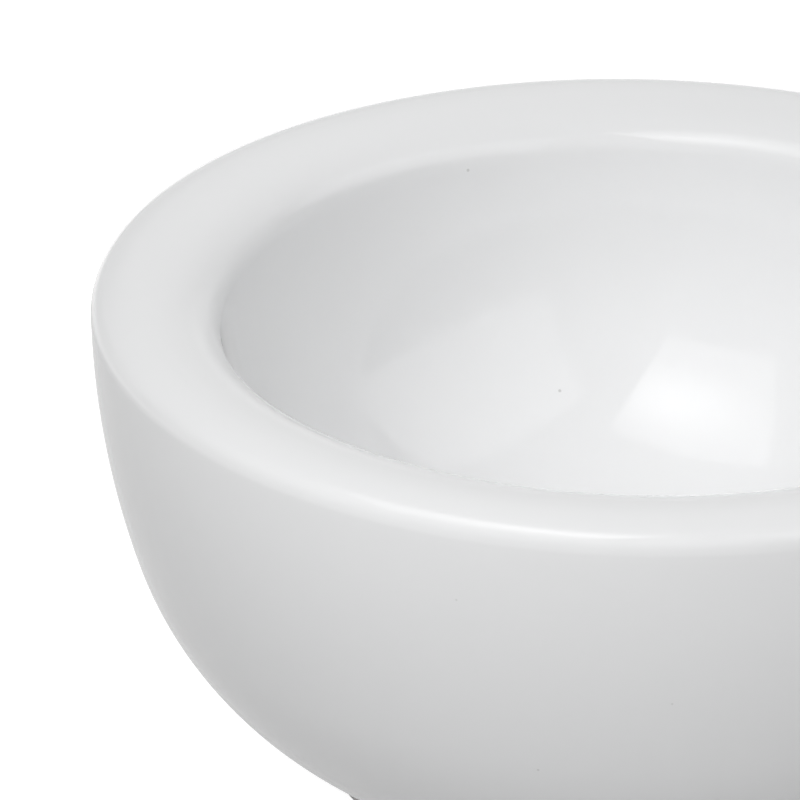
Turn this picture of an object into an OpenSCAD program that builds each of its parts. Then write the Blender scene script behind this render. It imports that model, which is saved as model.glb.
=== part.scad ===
// Porcelain mortar with its pestle lying beside it on the same table.
// Millimetres, +Z up. The origin is the middle of the mortar's foot, on the table.
// Both pieces are turned bodies, so each is one section of arcs spun about its own axis.

/* [Mortar] */
// Outer diameter at the widest place, just under the rim
rim_d = 125; // [112:1:130]
// Height, from the table to the crest of the rim
mortar_h = 60; // [59:0.5:72]
// Width of the rim, from the widest place to the mouth of the bowl
rim_w = 14.7; // [14:0.1:20]
// Lean of the bowl's wall at its mouth, away from upright, in degrees
mouth_lean = 8; // [5:0.5:14]
// Radius of the outer wall's upper arc
wall_r = 97; // [84:1:102]
// Turn of the upper arc before the lower arc takes over, in degrees
wall_turn = 16.6; // [12:0.2:18]
// Radius of the outer wall's lower arc, which runs in to the foot
belly_r = 38.5; // [35:0.5:43]
// Diameter of the flat foot
foot_d = 74; // [66:1:84]
// Rounding of the foot's lower edge
foot_edge_r = 1.2; // [0.4:0.1:1.8]
// Hollow fillet between the foot and the belly
foot_fillet_r = 3; // [1:0.25:5]

/* [Rim section] */
// Radius of the outer half of the rim's crown
crown_out_r = 7.5; // [6:0.25:9]
// Radius of the rim's outer edge
edge_out_r = 2.6; // [1.5:0.1:3.5]
// Tilt at which the outer crown passes into the outer edge, in degrees
edge_out_tilt = 25; // [15:1:35]
// Radius of the rim's inner edge
edge_in_r = 10.5; // [8:0.25:12]
// Tilt at which the inner crown passes into the inner edge, in degrees
edge_in_tilt = 20; // [14:1:28]
// Radius of the lip where the inner edge turns down into the bowl
lip_r = 5; // [2:0.25:7]
// Tilt at which the inner edge passes into the lip, in degrees
lip_tilt = 45; // [38:1:58]

/* [Pestle] */
// Whole length
pestle_l = 132; // [110:1:160]
// Diameter of the grinding head
head_d = 40; // [34:0.5:46]
// Radius of the grinding face, tighter than the bowl
face_r = 27; // [24:0.5:34]
// Rounding between the grinding face and the side of the head
head_edge_r = 7; // [4:0.5:10]
// Radius of the head's shoulder
shoulder_r = 20; // [14:0.5:28]
// Radius of the hollow between shoulder and neck
neck_hollow_r = 22; // [12:0.5:34]
// Diameter of the neck
neck_d = 17; // [13:0.5:20]
// Diameter of the handle at its thickest, near the end
grip_d = 24; // [22:0.5:30]
// Radius of the domed end of the handle
grip_dome_r = 16; // [14:0.5:24]
// Rounding between the dome and the side of the handle
grip_edge_r = 8; // [4:0.5:9]

/* [Place of the pestle] */
// Clear gap between the mortar's rim and the head, seen from above
pestle_gap = 10; // [4:1:40]
// Bearing of the head from the mortar's axis, in degrees from +X
head_bearing = -20; // [-40:1:0]
// Direction in which the handle points, in degrees from +X
handle_bearing = 75; // [60:1:90]

/* [Hidden] */
$fn = 180;
porcelain = "whitesmoke";

// Rim, worked out from the widest place inwards
rim_r = rim_d / 2;
edge_out_run = edge_out_r * (1 - sin(edge_out_tilt));
crown_out_run = crown_out_r * sin(edge_out_tilt);
edge_in_run = edge_in_r * (sin(lip_tilt) - sin(edge_in_tilt));
lip_run = lip_r * (cos(mouth_lean) - sin(lip_tilt));
crown_in_run = rim_w - edge_out_run - crown_out_run - edge_in_run - lip_run;
crown_in_r = thousandth(crown_in_run / sin(edge_in_tilt));
crest_r = rim_r - edge_out_run - crown_out_run;
edge_in_x = crest_r - (crown_in_r - edge_in_r) * sin(edge_in_tilt);
lip_x = edge_in_x - (edge_in_r - lip_r) * sin(lip_tilt);

// Bowl: part of one sphere, which the lip touches at the mouth
bowl_r = thousandth((rim_r - rim_w) / cos(mouth_lean));
mouth_tilt = asin(lip_x / (bowl_r + lip_r));
crown_in_drop = crown_in_r * (1 - cos(edge_in_tilt));
edge_in_drop = edge_in_r * (cos(edge_in_tilt) - cos(lip_tilt));
lip_drop = lip_r * (cos(lip_tilt) - cos(mouth_tilt));
bowl_depth = crown_in_drop + edge_in_drop + lip_drop + bowl_r * (1 - cos(mouth_tilt));

// Levels of the mortar's section, from the crest of the rim down
crest_z = mortar_h;
crown_out_z = crest_z - crown_out_r * (1 - cos(edge_out_tilt));
wall_z = crown_out_z - edge_out_r * cos(edge_out_tilt);
crown_in_z = crest_z - crown_in_drop;
edge_in_z = crown_in_z - edge_in_drop;
mouth_z = edge_in_z - lip_drop;
belly_z = wall_z - wall_r * sin(wall_turn);

// Centres of the mortar's arcs
crown_out_c = [crest_r, crest_z - crown_out_r];
edge_out_c = [rim_r - edge_out_r, wall_z];
crown_in_c = [crest_r, crest_z - crown_in_r];
edge_in_c = [edge_in_x, crown_in_z - edge_in_r * cos(edge_in_tilt)];
lip_c = [lip_x, edge_in_z - lip_r * cos(lip_tilt)];
bowl_c = [0, crest_z - bowl_depth + bowl_r];
wall_c = [rim_r - wall_r, wall_z];
belly_c = wall_c + (wall_r - belly_r) * [cos(wall_turn), -sin(wall_turn)];

// Foot: its fillet touches the foot's side and the belly
foot_r = foot_d / 2;
fillet_x = foot_r + foot_fillet_r;
fillet_reach = belly_r + foot_fillet_r;
fillet_z = belly_c.y - sqrt(pow(fillet_reach, 2) - pow(fillet_x - belly_c.x, 2));
fillet_c = [fillet_x, fillet_z];
foot_top = belly_c.y + (fillet_z - belly_c.y) * belly_r / fillet_reach;

// Pestle: stations along its axis, from the tip of the grinding face
head_r = head_d / 2;
neck_r = neck_d / 2;
grip_r = grip_d / 2;
swell = grip_r - neck_r;
head_s = dome_height(face_r, head_edge_r, head_r);
grip_end_h = dome_height(grip_dome_r, grip_edge_r, grip_r);
shoulder_turn = acos(1 - (head_r - neck_r) / (shoulder_r + neck_hollow_r));
shoulder_end_s = head_s + shoulder_r * sin(shoulder_turn);
neck_s = head_s + (shoulder_r + neck_hollow_r) * sin(shoulder_turn);
handle_room = pestle_l - grip_end_h - neck_s;
handle_r = thousandth((pow(swell, 2) + pow(handle_room, 2)) / (4 * swell));
handle_len = sqrt(swell * (4 * handle_r - swell));
handle_mid_s = neck_s + handle_len / 2;
grip_s = neck_s + handle_len;
end_s = grip_s + grip_end_h;

// Centres of the pestle's arcs
head_edge_c = [head_r - head_edge_r, head_s];
shoulder_c = [head_r - shoulder_r, head_s];
neck_c = [neck_r + neck_hollow_r, neck_s];
handle_hollow_c = [neck_r + handle_r, neck_s];
handle_swell_c = [grip_r - handle_r, grip_s];
grip_edge_c = [grip_r - grip_edge_r, grip_s];

// The pestle rests on its shoulder and on the end of its handle, so its axis dips by rest_dip
rest_span = grip_edge_c - shoulder_c;
rest_dip = acos((grip_edge_r - shoulder_r) / norm(rest_span)) - atan2(rest_span.y, -rest_span.x);
tip_z = shoulder_c.x * cos(rest_dip) + shoulder_c.y * sin(rest_dip) + shoulder_r;
head_place = (rim_r + pestle_gap + head_r) * [cos(head_bearing), sin(head_bearing)];

// Longer than any section, for the bands that cut its arcs
reach = 4 * (rim_d + pestle_l);

// Rounds a radius that follows from other sizes; the arc beside it takes up the difference
function thousandth(v) = round(v * 1000) / 1000;

// Height of a dome of radius dome_r whose edge is rounded by edge_r down to a side of radius side_r
function dome_height(dome_r, edge_r, side_r) =
    dome_r - sqrt(pow(dome_r - edge_r, 2) - pow(side_r - edge_r, 2));

// Distance from a dome's tip to where the rounding of its edge starts
function dome_end(dome_r, edge_r, side_r) =
    dome_r - dome_r * (dome_r - dome_height(dome_r, edge_r, side_r)) / (dome_r - edge_r);

// Moves in two steps, hundredths and then the rest, so that neighbouring arcs meet to the last digit
module at(place) {
    hundredths = [for (v = place) round(v * 100) / 100];
    translate(hundredths) translate(place - hundredths) children();
}

// Part of a section between two radii and two levels
module band(r0, r1, z0, z1) {
    intersection() {
        at([r0, z0]) square(reach);
        at([r1, z1]) translate([-reach, -reach]) square(reach);
    }
}

module disc(c, r) {
    at(c) circle(r);
}

// From radius r0 out to a circle's outer side, between two levels
module out_to(c, r, r0, z0, z1) {
    intersection() {
        disc(c, r);
        band(r0, c.x + r + 1, z0, z1);
    }
    if (c.x > r0) band(r0, c.x, z0, z1);
}

// From a circle's inner side out to radius r1, between two levels
module in_to(c, r, r1, z0, z1) {
    intersection() {
        disc(c, r);
        band(0, r1, z0, z1);
    }
    if (c.x < r1) band(c.x, r1, z0, z1);
}

// From the axis out to the hollow left by a circle, between two levels
module out_to_hollow(c, r, z0, z1) {
    difference() {
        band(0, c.x, z0, z1);
        disc(c, r);
    }
}

module rim_section() {
    out_to(crown_out_c, crown_out_r, crest_r, crown_out_z, crest_z + 1);
    out_to(edge_out_c, edge_out_r, crest_r, wall_z, crown_out_z);
    out_to(wall_c, wall_r, crest_r, mouth_z, wall_z);
    in_to(crown_in_c, crown_in_r, crest_r, crown_in_z, crest_z + 1);
    in_to(edge_in_c, edge_in_r, crest_r, edge_in_z, crown_in_z);
    in_to(lip_c, lip_r, crest_r, mouth_z, edge_in_z);
}

module body_section() {
    difference() {
        union() {
            out_to(wall_c, wall_r, 0, belly_z, mouth_z);
            out_to(belly_c, belly_r, 0, foot_top, belly_z);
            out_to_hollow(fillet_c, foot_fillet_r, fillet_z, foot_top);
            band(0, foot_r, foot_edge_r, fillet_z);
            out_to([foot_r - foot_edge_r, foot_edge_r], foot_edge_r, 0, 0, foot_edge_r);
        }
        disc(bowl_c, bowl_r);
    }
}

module pestle_section() {
    face_end = dome_end(face_r, head_edge_r, head_r);
    grip_end = end_s - dome_end(grip_dome_r, grip_edge_r, grip_r);
    out_to([0, face_r], face_r, 0, -1, face_end);
    out_to(head_edge_c, head_edge_r, 0, face_end, head_s);
    out_to(shoulder_c, shoulder_r, 0, head_s, shoulder_end_s);
    out_to_hollow(neck_c, neck_hollow_r, shoulder_end_s, neck_s);
    out_to_hollow(handle_hollow_c, handle_r, neck_s, handle_mid_s);
    out_to(handle_swell_c, handle_r, 0, handle_mid_s, grip_s);
    out_to(grip_edge_c, grip_edge_r, 0, grip_s, grip_end);
    out_to([0, end_s - grip_dome_r], grip_dome_r, 0, grip_end, end_s + 1);
}

module mortar() {
    color(porcelain) rotate_extrude() {
        body_section();
        rim_section();
    }
}

module pestle() {
    color(porcelain)
        translate([head_place.x, head_place.y, 0])
        rotate([0, 0, handle_bearing])
        translate([-head_s * cos(rest_dip), 0, tip_z])
        rotate([0, 90 + rest_dip, 0])
        rotate_extrude() pestle_section();
}

mortar();
pestle();
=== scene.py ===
import math

import bpy
from mathutils import Matrix, Vector


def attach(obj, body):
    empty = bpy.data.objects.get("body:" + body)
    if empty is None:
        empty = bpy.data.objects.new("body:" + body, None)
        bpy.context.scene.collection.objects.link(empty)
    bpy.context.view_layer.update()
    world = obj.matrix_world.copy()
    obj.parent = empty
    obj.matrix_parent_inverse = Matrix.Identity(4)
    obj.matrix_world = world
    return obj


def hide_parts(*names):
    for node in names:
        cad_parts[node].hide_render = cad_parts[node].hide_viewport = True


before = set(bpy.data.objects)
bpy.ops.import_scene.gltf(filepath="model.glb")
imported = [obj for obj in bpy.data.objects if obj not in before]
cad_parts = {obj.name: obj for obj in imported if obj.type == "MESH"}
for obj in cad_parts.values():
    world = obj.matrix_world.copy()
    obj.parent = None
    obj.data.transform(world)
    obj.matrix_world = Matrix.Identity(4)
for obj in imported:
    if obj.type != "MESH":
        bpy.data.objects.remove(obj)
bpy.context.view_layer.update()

MM = 0.001
MORTAR_RIM_R = 62.5
MORTAR_CREST_Z = 60.0
WHITE = (1.0, 1.0, 1.0, 1.0)


class Wire:
    """One output socket of a node tree. Sums and products of wires add Math nodes to the tree."""

    MIX_COLOUR_LOW, MIX_COLOUR_HIGH, MIX_COLOUR_OUT = 6, 7, 2

    def __init__(self, tree, socket=None):
        self.tree = tree
        self.socket = socket

    def make(self, kind, settings=None, inputs=None, output=0):
        """Adds a node, gives it its settings, then its sockets' values or links, and returns one output."""
        node = self.tree.nodes.new(kind)
        for name, value in (settings or {}).items():
            setattr(node, name, value)
        for key, value in (inputs or {}).items():
            if isinstance(value, Wire):
                self.tree.links.new(value.socket, node.inputs[key])
            else:
                node.inputs[key].default_value = value
        return Wire(self.tree, node.outputs[output] if len(node.outputs) else None)

    def other(self, output):
        """Another output of the same node."""
        return Wire(self.tree, self.socket.node.outputs[output])

    def math(self, operation, *values):
        return self.make("ShaderNodeMath", {"operation": operation}, dict(enumerate(values)))

    def __add__(self, value):
        return self.math("ADD", self, value)

    __radd__ = __add__

    def __sub__(self, value):
        return self.math("SUBTRACT", self, value)

    def __rsub__(self, value):
        return self.math("SUBTRACT", value, self)

    def __mul__(self, value):
        return self.math("MULTIPLY", self, value)

    __rmul__ = __mul__

    def __truediv__(self, value):
        return self.math("DIVIDE", self, value)

    def __rtruediv__(self, value):
        return self.math("DIVIDE", value, self)

    def step(self, low, high):
        """0 below low and 1 above high, with a smooth rise between them."""
        return self.make(
            "ShaderNodeMapRange",
            {"interpolation_type": "SMOOTHSTEP"},
            {"Value": self, "From Min": low, "From Max": high},
        )

    def blend(self, low, high):
        """The colour low where this is 0, and high where it is 1."""
        low, high = (colour if isinstance(colour, Wire) else (*colour, 1.0) for colour in (low, high))
        return self.make(
            "ShaderNodeMix",
            {"data_type": "RGBA"},
            {"Factor": self, self.MIX_COLOUR_LOW: low, self.MIX_COLOUR_HIGH: high},
            self.MIX_COLOUR_OUT,
        )


# Sections of the two turned pieces, in millimetres, as arcs that run into each other

def arc(centre, radius, start, end, steps):
    """Points of an arc after its first. Angles are in degrees, from outwards, turning upwards."""
    turns = (math.radians(start + (end - start) * k / steps) for k in range(1, steps + 1))
    return [(centre[0] + radius * math.cos(t), centre[1] + radius * math.sin(t)) for t in turns]


def straight(start, end, steps):
    """Points of a straight run after its first."""
    return [(start[0] + (end[0] - start[0]) * k / steps, start[1] + (end[1] - start[1]) * k / steps)
            for k in range(1, steps + 1)]


def mortar_section():
    """Radius and height of the mortar's skin, from under the foot, over the rim, to the bowl's floor."""
    rim_r, crest_z = MORTAR_RIM_R, MORTAR_CREST_Z
    rim_w, mouth_lean = 14.7, 8.0
    wall_r, wall_turn, belly_r = 97.0, 16.6, 38.5
    foot_r, foot_edge_r, foot_ring_w, fillet_r = 37.0, 1.2, 0.6, 3.0
    crown_out_r, edge_out_r, out_tilt = 7.5, 2.6, 25.0
    edge_in_r, in_tilt, lip_r, lip_tilt = 10.5, 20.0, 5.0, 45.0

    def sin(a):
        return math.sin(math.radians(a))

    def cos(a):
        return math.cos(math.radians(a))

    crest_r = rim_r - edge_out_r * (1 - sin(out_tilt)) - crown_out_r * sin(out_tilt)
    in_run = edge_in_r * (sin(lip_tilt) - sin(in_tilt)) + lip_r * (cos(mouth_lean) - sin(lip_tilt))
    crown_in_r = (crest_r - rim_r + rim_w - in_run) / sin(in_tilt)
    bowl_r = (rim_r - rim_w) / cos(mouth_lean)
    mouth_tilt = 90 - mouth_lean
    depth = (crown_in_r * (1 - cos(in_tilt)) + edge_in_r * (cos(in_tilt) - cos(lip_tilt))
             + lip_r * (cos(lip_tilt) - cos(mouth_tilt)) + bowl_r * (1 - cos(mouth_tilt)))
    floor_z = crest_z - depth
    wall_z = crest_z - crown_out_r * (1 - cos(out_tilt)) - edge_out_r * cos(out_tilt)
    crown_in_c = (crest_r, crest_z - crown_in_r)
    edge_in_c = (crown_in_c[0] - (crown_in_r - edge_in_r) * sin(in_tilt),
                 crown_in_c[1] + (crown_in_r - edge_in_r) * cos(in_tilt))
    lip_c = (edge_in_c[0] - (edge_in_r - lip_r) * sin(lip_tilt),
             edge_in_c[1] + (edge_in_r - lip_r) * cos(lip_tilt))
    belly_c = (rim_r - wall_r + (wall_r - belly_r) * cos(wall_turn),
               wall_z - (wall_r - belly_r) * sin(wall_turn))
    fillet_x = foot_r + fillet_r
    fillet_z = belly_c[1] - math.sqrt((belly_r + fillet_r) ** 2 - (fillet_x - belly_c[0]) ** 2)
    belly_start = math.degrees(math.atan2(fillet_z - belly_c[1], fillet_x - belly_c[0]))

    points = [(0.0, 0.0)]
    points += straight((0, 0), (foot_r - foot_edge_r - foot_ring_w, 0), steps=8)
    points += straight(points[-1], (foot_r - foot_edge_r, 0), steps=2)
    points += arc((foot_r - foot_edge_r, foot_edge_r), foot_edge_r, -90, 0, steps=8)
    points += straight(points[-1], (foot_r, fillet_z), steps=3)
    points += arc((fillet_x, fillet_z), fillet_r, 180, belly_start + 180, steps=10)
    points += arc(belly_c, belly_r, belly_start, -wall_turn, steps=36)
    points += arc((rim_r - wall_r, wall_z), wall_r, -wall_turn, 0, steps=30)
    points += arc((rim_r - edge_out_r, wall_z), edge_out_r, 0, 90 - out_tilt, steps=14)
    points += arc((crest_r, crest_z - crown_out_r), crown_out_r, 90 - out_tilt, 90, steps=10)
    points += arc(crown_in_c, crown_in_r, 90, 90 + in_tilt, steps=16)
    points += arc(edge_in_c, edge_in_r, 90 + in_tilt, 90 + lip_tilt, steps=56)
    points += arc(lip_c, lip_r, 90 + lip_tilt, 90 + mouth_tilt, steps=22)
    points += arc((0, floor_z + bowl_r), bowl_r, -mouth_lean, -90, steps=60)
    points[-1] = (0.0, floor_z)
    return points


def pestle_section():
    """Radius and distance from the tip of the pestle's skin, and the way it lies on the table."""
    length, head_r, face_r, head_edge_r = 132.0, 20.0, 27.0, 7.0
    shoulder_r, hollow_r, neck_r = 20.0, 22.0, 8.5
    grip_r, dome_r, grip_edge_r = 12.0, 16.0, 8.0
    gap, head_bearing, handle_bearing = 10, math.radians(-20), math.radians(75)

    def dome_height(dome, edge, side):
        return dome - math.sqrt((dome - edge) ** 2 - (side - edge) ** 2)

    head_s = dome_height(face_r, head_edge_r, head_r)
    grip_s = length - dome_height(dome_r, grip_edge_r, grip_r)
    turn = math.degrees(math.acos(1 - (head_r - neck_r) / (shoulder_r + hollow_r)))
    neck_s = head_s + (shoulder_r + hollow_r) * math.sin(math.radians(turn))
    swell, room = grip_r - neck_r, grip_s - neck_s
    handle_r = (swell ** 2 + room ** 2) / (4 * swell)
    handle_turn = math.degrees(math.asin(room / 2 / handle_r))
    face_turn = math.degrees(math.asin((head_r - head_edge_r) / (face_r - head_edge_r)))
    dome_turn = math.degrees(math.asin((grip_r - grip_edge_r) / (dome_r - grip_edge_r)))

    points = [(0.0, 0.0)]
    points += arc((0, face_r), face_r, -90, face_turn - 90, steps=28)
    points += arc((head_r - head_edge_r, head_s), head_edge_r, face_turn - 90, 0, steps=14)
    points += arc((head_r - shoulder_r, head_s), shoulder_r, 0, turn, steps=20)
    points += arc((neck_r + hollow_r, neck_s), hollow_r, 180 + turn, 180, steps=20)
    points += arc((neck_r + handle_r, neck_s), handle_r, 180, 180 - handle_turn, steps=24)
    points += arc((grip_r - handle_r, grip_s), handle_r, -handle_turn, 0, steps=24)
    points += arc((grip_r - grip_edge_r, grip_s), grip_edge_r, 0, 90 - dome_turn, steps=14)
    points += arc((0, length - dome_r), dome_r, 90 - dome_turn, 90, steps=14)
    points[-1] = (0.0, length)

    # The axis dips until both the shoulder and the end of the handle touch the table
    span_r = grip_r - grip_edge_r - head_r + shoulder_r
    span_s = grip_s - head_s
    dip = math.acos((grip_edge_r - shoulder_r) / math.hypot(span_r, span_s)) - math.atan2(span_s, -span_r)
    tip_z = (head_r - shoulder_r) * math.cos(dip) + head_s * math.sin(dip) + shoulder_r
    head_way = Vector((math.cos(head_bearing), math.sin(head_bearing), 0))
    place = Matrix.Translation(head_way * (MORTAR_RIM_R + gap + head_r) * MM)
    place = place @ Matrix.Rotation(handle_bearing, 4, "Z")
    place = place @ Matrix.Translation(Vector((-head_s * math.cos(dip), 0, tip_z)) * MM)
    place = place @ Matrix.Rotation(math.radians(90) + dip, 4, "Y")
    return points, place


# The tree that turns a section into a closed skin

def lathe_tree():
    """Spins a section about Z, closes its seam and poles, and pushes the skin in and out by a slow wave."""
    merge_within = 0.001 * MM
    flat_below, wavy_above = 1 * MM, 8 * MM
    tree = bpy.data.node_groups.new("porcelain_lathe", "GeometryNodeTree")
    face = tree.interface
    face.new_socket("Section", in_out="INPUT", socket_type="NodeSocketGeometry")
    for name, kind in (("Segments", "NodeSocketInt"), ("Wave height", "NodeSocketFloat"),
                       ("Wave length", "NodeSocketFloat"), ("Seed", "NodeSocketFloat"),
                       ("Glaze", "NodeSocketMaterial")):
        face.new_socket(name, in_out="INPUT", socket_type=kind)
    face.new_socket("Skin", in_out="OUTPUT", socket_type="NodeSocketGeometry")
    w = Wire(tree)
    given = w.make("NodeGroupInput")
    section, segments = given.other("Section"), given.other("Segments")
    rows = w.make("GeometryNodeAttributeDomainSize", {"component": "MESH"}, {0: section}, "Point Count")
    grid = w.make("GeometryNodeMeshGrid", None, {"Vertices X": segments + 1.0, "Vertices Y": rows})
    index = w.make("GeometryNodeInputIndex")
    column = w.math("FLOOR", (index + 0.5) / rows)
    row = index - column * rows
    place = w.make("GeometryNodeInputPosition")
    sample = w.make("GeometryNodeSampleIndex", {"data_type": "FLOAT_VECTOR", "domain": "POINT"},
                    {"Geometry": section, "Value": place, "Index": row})
    radius = w.make("ShaderNodeSeparateXYZ", None, {0: sample})
    height = radius.other("Z")
    turn = column * (2 * math.pi) / segments
    spun = w.make("ShaderNodeCombineXYZ", None, {
        "X": radius * w.math("COSINE", turn), "Y": radius * w.math("SINE", turn), "Z": height})
    skin = w.make("GeometryNodeSetPosition", None, {"Geometry": grid, "Position": spun})
    skin = w.make("GeometryNodeStoreNamedAttribute", {"data_type": "FLOAT", "domain": "POINT"},
                  {"Geometry": skin, "Name": "along", "Value": height})
    skin = w.make("GeometryNodeMergeByDistance", None, {"Geometry": skin, "Distance": merge_within})
    noise = w.make("ShaderNodeTexNoise", {"noise_dimensions": "4D"}, {
        "Vector": place, "W": given.other("Seed"),
        "Scale": 1.0 / given.other("Wave length"), "Detail": 1.0})
    normal = w.make("GeometryNodeInputNormal")
    level = w.make("ShaderNodeSeparateXYZ", None, {0: place}, "Z")
    push = (noise - 0.5) * given.other("Wave height") * level.step(flat_below, wavy_above)
    lift = w.make("ShaderNodeVectorMath", {"operation": "SCALE"}, {0: normal, "Scale": push})
    skin = w.make("GeometryNodeSetPosition", None, {"Geometry": skin, "Offset": lift})
    skin = w.make("GeometryNodeSetShadeSmooth", None, {"Geometry": skin})
    skin = w.make("GeometryNodeRealizeInstances", None, {"Geometry": skin})
    skin = w.make("GeometryNodeSetMaterial", None, {"Geometry": skin, "Material": given.other("Glaze")})
    w.make("NodeGroupOutput", None, {"Skin": skin})
    return tree


def turned_piece(name, points, tree, sizes, place=None):
    """A plain mesh of the section spun about its axis, with its place in the mesh."""
    start = bpy.data.meshes.new(name + "_section")
    corners = [(r * MM, 0, z * MM) for r, z in points]
    start.from_pydata(corners, [(k, k + 1) for k in range(len(points) - 1)], [])
    piece = bpy.data.objects.new(name, start)
    bpy.context.scene.collection.objects.link(piece)
    spin = piece.modifiers.new("spin", "NODES")
    spin.node_group = tree
    for socket in tree.interface.items_tree:
        if socket.in_out == "INPUT" and socket.name in sizes:
            spin[socket.identifier] = sizes[socket.name]
    bpy.context.view_layer.update()
    graph = bpy.context.evaluated_depsgraph_get()
    made = bpy.data.meshes.new_from_object(piece.evaluated_get(graph))
    piece.modifiers.remove(spin)
    piece.data = made
    made.name = name
    bpy.data.meshes.remove(start)
    if place is not None:
        made.transform(place)
    return piece


# Materials

def new_material(name):
    material = bpy.data.materials.new(name)
    material.use_nodes = True
    material.node_tree.nodes.clear()
    return material, Wire(material.node_tree)


def porcelain(name, bare, seed):
    """White porcelain under a clear gloss glaze. bare gives 1 where the body is left unglazed and rough."""
    cloud_scale, mottle_scale, pinhole_scale = 38.0, 240.0, 130.0
    grain_scale, ripple_scale = 1900.0, 330.0
    glaze_dull, glaze_clear, glaze_pale = (0.819, 0.823, 0.828), (0.831, 0.835, 0.840), (0.835, 0.838, 0.842)
    mottle_share = 0.25
    pinhole_grey, pinhole_share = (0.42, 0.42, 0.41), 0.55
    pinhole_core, pinhole_rim = 0.12 * MM, 0.26 * MM
    body_dark, body_light = (0.69, 0.685, 0.67), (0.78, 0.775, 0.765)
    glaze_rough, cloud_rough, pinhole_rough, bare_rough = 0.075, 0.05, 0.2, 0.7
    ripple_height, pinhole_depth, grain_height = 0.002 * MM, 0.02 * MM, 0.03 * MM

    material, w = new_material(name)
    place = w.make("ShaderNodeTexCoord", None, None, "Object")
    moved = w.make("ShaderNodeMapping", None, {"Vector": place, "Location": (seed, 0.3 * seed, -seed)})

    def noise(scale, detail=2.0, roughness=0.5):
        return w.make("ShaderNodeTexNoise", None, {
            "Vector": moved, "Scale": scale, "Detail": detail, "Roughness": roughness})

    unglazed = bare(w, place, noise)
    clouds = noise(cloud_scale)
    mottle = noise(mottle_scale, 3.0)
    dots = w.make("ShaderNodeTexVoronoi", None, {"Vector": moved, "Scale": pinhole_scale})
    pinhole = 1 - dots.step(pinhole_core * pinhole_scale, pinhole_rim * pinhole_scale)

    glaze = clouds.blend(glaze_dull, glaze_clear)
    glaze = (mottle.step(0.35, 0.75) * mottle_share).blend(glaze, glaze_pale)
    glaze = (pinhole * pinhole_share).blend(glaze, pinhole_grey)
    grain = noise(grain_scale, 4.0, 0.65)
    body = grain.blend(body_dark, body_light)
    colour = unglazed.blend(glaze, body)

    gloss = glaze_rough + (clouds - 0.5) * cloud_rough + pinhole * pinhole_rough
    roughness = gloss + unglazed * (bare_rough - gloss)
    ripple = noise(ripple_scale, 1.0)
    relief = (ripple * ripple_height * (1 - unglazed) - pinhole * pinhole_depth
              + grain * unglazed * grain_height)
    bump = w.make("ShaderNodeBump", None, {"Height": relief, "Strength": 1.0, "Distance": 1.0})
    shader = w.make("ShaderNodeBsdfPrincipled", None, {
        "Base Color": colour, "Roughness": roughness, "Normal": bump, "IOR": 1.5})
    w.make("ShaderNodeOutputMaterial", None, {"Surface": shader})
    return material


def before_glaze(way, start, end, noise, wander):
    """1 before the line where the glaze starts and 0 after it. The line wanders by up to half of wander."""
    return 1 - (way + (noise - 0.5) * wander).step(start, end)


def foot_bare(w, place, noise):
    """The mortar's foot, up to its glaze line."""
    height = w.make("ShaderNodeSeparateXYZ", None, {0: place}, "Z")
    return before_glaze(height, 1.7 * MM, 2.0 * MM, noise(60.0), wander=1.2 * MM)


def head_bare(w, place, noise):
    """The pestle's grinding head, up to a glaze line behind its widest place."""
    along = w.make("ShaderNodeAttribute", {"attribute_type": "GEOMETRY", "attribute_name": "along"},
                   None, "Fac")
    return before_glaze(along, 22.6 * MM, 23.0 * MM, noise(45.0), wander=2.5 * MM)


# The two pieces

lathe = lathe_tree()
mortar = turned_piece("mortar_glazed", mortar_section(), lathe, {
    "Segments": 320, "Wave height": 0.10 * MM, "Wave length": 32 * MM, "Seed": 3.7,
    "Glaze": porcelain("mortar_porcelain_glaze", foot_bare, 0.71)})
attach(mortar, "mortar")
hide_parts("mortar")

pestle_points, pestle_place = pestle_section()
pestle = turned_piece("pestle_glazed", pestle_points, lathe, {
    "Segments": 112, "Wave height": 0.10 * MM, "Wave length": 26 * MM, "Seed": 8.2,
    "Glaze": porcelain("pestle_porcelain_glaze", head_bare, 1.93)}, pestle_place)
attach(pestle, "pestle")
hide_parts("pestle")


# Levels of the studio, where 1 is white

AMBIENT = 0.02
# The table glows to diffuse rays in place of light bounced off a lit table. The glow is weaker near the
# mortar as painted shade, where the mortar shades the table.
TABLE_GLOW_IN_PAINTED_SHADE, TABLE_GLOW_FAR = 0.10, 0.34
TABLE_GREY, TABLE_LIFT, TABLE_LIFT_OPEN = 0.4, 0.62, 0.3
MIRRORED_TABLE, MIRRORED_FAR_TABLE = 0.46, 0.95
MIRRORED_CEILING, MIRRORED_BACKDROP, MIRRORED_HORIZON, MIRRORED_ROOM = 0.85, 0.6, 0.78, 0.21

# Each fill's name, azimuth and elevation in degrees, distance in metres and radiance
FILLS = (
    ("front_fill", 270, 40, 0.9, 5.3),
    ("left_fill", 225, 24, 0.9, 1.15),
    ("right_fill", 0, 12, 0.9, 0.8),
    ("right_back_fill", 45, 12, 0.9, 1.6),
    ("back_fill", 90, 12, 0.9, 3.0),
    ("high_back_fill", 70, 38, 0.45, 2.3),
    ("top_fill", 175, 68, 0.9, 2.2),
)


# Table, room and lamps

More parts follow.
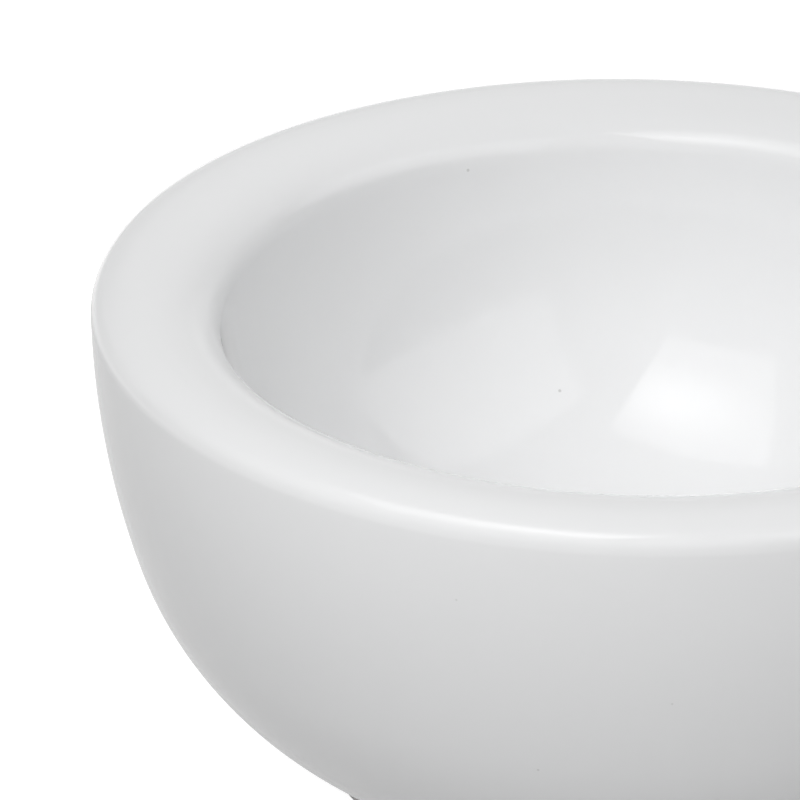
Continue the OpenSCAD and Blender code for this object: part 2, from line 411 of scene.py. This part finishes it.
def white_table():
    """A pale table that lights the object from below. The camera sees it lifted to white, with its shade."""
    half = 6.0
    sheet = bpy.data.meshes.new("table")
    corners = [(-half, -half, 0), (half, -half, 0), (half, half, 0), (-half, half, 0)]
    sheet.from_pydata(corners, [], [(0, 1, 2, 3)])
    table = bpy.data.objects.new("table", sheet)
    bpy.context.scene.collection.objects.link(table)
    material, w = new_material("table_white")
    place = w.make("ShaderNodeTexCoord", None, None, "Object")
    across = w.make("ShaderNodeSeparateXYZ", None, {0: place})
    away = w.make("ShaderNodeVectorMath", {"operation": "LENGTH"}, {0: place}, "Value")
    open_table = w.math("MAXIMUM", 1 - across.step(-0.05, 0.05), away.step(0.12, 0.3))
    path = w.make("ShaderNodeLightPath")
    seen = path.other("Is Camera Ray") + path.other("Is Transmission Ray")
    behind = across.other("Y").step(0.11, 0.19)
    mirrored = MIRRORED_TABLE + behind * (MIRRORED_FAR_TABLE - MIRRORED_TABLE)
    mirrored = path.other("Is Glossy Ray") * mirrored
    # Painted light: the table glows to diffuse rays in place of bounced light. The glow is dimmer within
    # about 0.1 m of the mortar as painted shade.
    spread = TABLE_GLOW_IN_PAINTED_SHADE + away.step(0.1, 0.2) * (TABLE_GLOW_FAR - TABLE_GLOW_IN_PAINTED_SHADE)
    spread = path.other("Is Diffuse Ray") * spread
    lift = (TABLE_LIFT + open_table * TABLE_LIFT_OPEN) * seen + mirrored + spread
    matt = w.make("ShaderNodeBsdfDiffuse", None, {"Color": (TABLE_GREY, TABLE_GREY, TABLE_GREY, 1.0)})
    glow = w.make("ShaderNodeEmission", None, {"Color": WHITE, "Strength": lift})
    both = w.make("ShaderNodeAddShader", None, {0: matt, 1: glow})
    w.make("ShaderNodeOutputMaterial", None, {"Surface": both})
    material.cycles.emission_sampling = "NONE"
    sheet.materials.append(material)


def studio_world():
    """White to the camera, a little even light on the object, and a room for the glaze to mirror."""
    world = bpy.data.worlds.new("studio")
    bpy.context.scene.world = world
    world.use_nodes = True
    world.node_tree.nodes.clear()
    w = Wire(world.node_tree)
    aim = w.make("ShaderNodeTexCoord", None, None, "Generated")
    aim = w.make("ShaderNodeSeparateXYZ", None, {0: aim})
    ceiling = aim.other("Z").step(0.2, 0.9)
    above = aim.other("Z").step(0.06, 0.22)
    backdrop = MIRRORED_HORIZON + above * (MIRRORED_BACKDROP - MIRRORED_HORIZON)
    behind = aim.other("Y").step(0.35, 0.55)
    around = (MIRRORED_ROOM + behind * (backdrop - MIRRORED_ROOM)) * (1 - ceiling)
    path = w.make("ShaderNodeLightPath")
    seen = path.other("Is Camera Ray") + path.other("Is Transmission Ray")
    mirrored = path.other("Is Glossy Ray") * (ceiling * MIRRORED_CEILING + around)
    strength = seen + mirrored + path.other("Is Diffuse Ray") * AMBIENT
    light = w.make("ShaderNodeBackground", None, {"Color": WHITE, "Strength": strength})
    w.make("ShaderNodeOutputWorld", None, {"Surface": light})


def lamp(name, centre, facing, turn, size, radiance):
    """A flat rectangular lamp. facing is the way its light goes, turn its angle about that in degrees."""
    data = bpy.data.lights.new(name, "AREA")
    data.shape = "RECTANGLE"
    data.size, data.size_y = size
    data.energy = radiance * math.pi * size[0] * size[1]
    rig = bpy.data.objects.new(name, data)
    bpy.context.scene.collection.objects.link(rig)
    aim = Vector(facing).normalized().to_track_quat("-Z", "Y").to_matrix().to_4x4()
    rig.matrix_world = Matrix.Translation(centre) @ aim @ Matrix.Rotation(math.radians(turn), 4, "Z")
    rig.visible_camera = False
    return rig


def softbox(centre, turn, size, edge, hot, spot, spread):
    """A softbox that faces down. Its light rises from edge to hot at spot.

    spot and spread are shares of the softbox's sides.
    """
    rig = lamp("softbox", centre, (0, 0, -1), turn, size, 1.0)
    rig.data.use_nodes = True
    rig.data.node_tree.nodes.clear()
    w = Wire(rig.data.node_tree)
    across = w.make("ShaderNodeNewGeometry", None, None, "Parametric")
    off = w.make("ShaderNodeVectorMath", {"operation": "SUBTRACT"}, {0: across, 1: (*spot, 0.0)})
    off = w.make("ShaderNodeVectorMath", {"operation": "MULTIPLY"},
                 {0: off, 1: (1 / spread[0], 1 / spread[1], 0.0)})
    away = w.make("ShaderNodeVectorMath", {"operation": "LENGTH"}, {0: off}, "Value")
    light = w.make("ShaderNodeEmission", None, {
        "Color": WHITE, "Strength": hot - away.step(0.0, 1.0) * (hot - edge)})
    w.make("ShaderNodeOutputLight", None, {"Surface": light})


def white_card():
    """A card at the right that the glaze mirrors. It gives the porcelain no other light."""
    card = lamp("white_card", centre=(0.47, -0.02, 0.52), facing=(-0.79, 0.61, 0.0), turn=0.0,
                size=(0.84, 0.51), radiance=0.8)
    card.visible_diffuse = False


def fill(name, azimuth, elevation, distance, radiance):
    """A broad fill aimed at the mortar. The glaze doesn't mirror it: it stands for the room's light."""
    aim_at = Vector((0, 0, 0.03))
    width, height = distance * 2 / 3, distance * 4 / 9
    a, e = math.radians(azimuth), math.radians(elevation)
    towards = Vector((math.cos(e) * math.cos(a), math.cos(e) * math.sin(a), math.sin(e)))
    rig = lamp(name, towards * distance + aim_at, -towards, 0.0, (width, height), radiance)
    rig.visible_glossy = False


white_table()
studio_world()
softbox(centre=(-0.2142, -0.2524, MORTAR_CREST_Z * MM + 0.5), turn=155.52, size=(0.427, 0.4195),
        edge=1.1, hot=3.3, spot=(0.27, 0.39), spread=(0.75, 0.405))
white_card()
for row in FILLS:
    fill(*row)


# Camera

def photograph_camera():
    """The camera, as fitted to the mortar's contours. Its distance is from the middle of the rim's crest."""
    picture_px, focal_px, sensor_mm = 800, 4458.60, 36.0
    elevation, distance = math.radians(24.5968), 508.42 * MM
    yaw, pitch = math.radians(3.3875), math.radians(26.2437)
    data = bpy.data.cameras.new("photograph")
    data.sensor_fit = "HORIZONTAL"
    data.sensor_width = sensor_mm
    data.lens = focal_px * sensor_mm / picture_px
    data.clip_start, data.clip_end = 0.02, 50.0
    look = Vector((-math.sin(yaw) * math.cos(pitch), math.cos(yaw) * math.cos(pitch), -math.sin(pitch)))
    right = Vector((math.cos(yaw), math.sin(yaw), 0))
    up = right.cross(look)
    stand_z = math.sin(elevation) * distance + MORTAR_CREST_Z * MM
    stand = Vector((0, -math.cos(elevation) * distance, stand_z))
    camera = bpy.data.objects.new("photograph", data)
    bpy.context.scene.collection.objects.link(camera)
    camera.matrix_world = Matrix((
        (right.x, up.x, -look.x, stand.x),
        (right.y, up.y, -look.y, stand.y),
        (right.z, up.z, -look.z, stand.z),
        (0, 0, 0, 1)))
    bpy.context.scene.camera = camera


photograph_camera()
bpy.context.scene.view_settings.view_transform = "Standard"
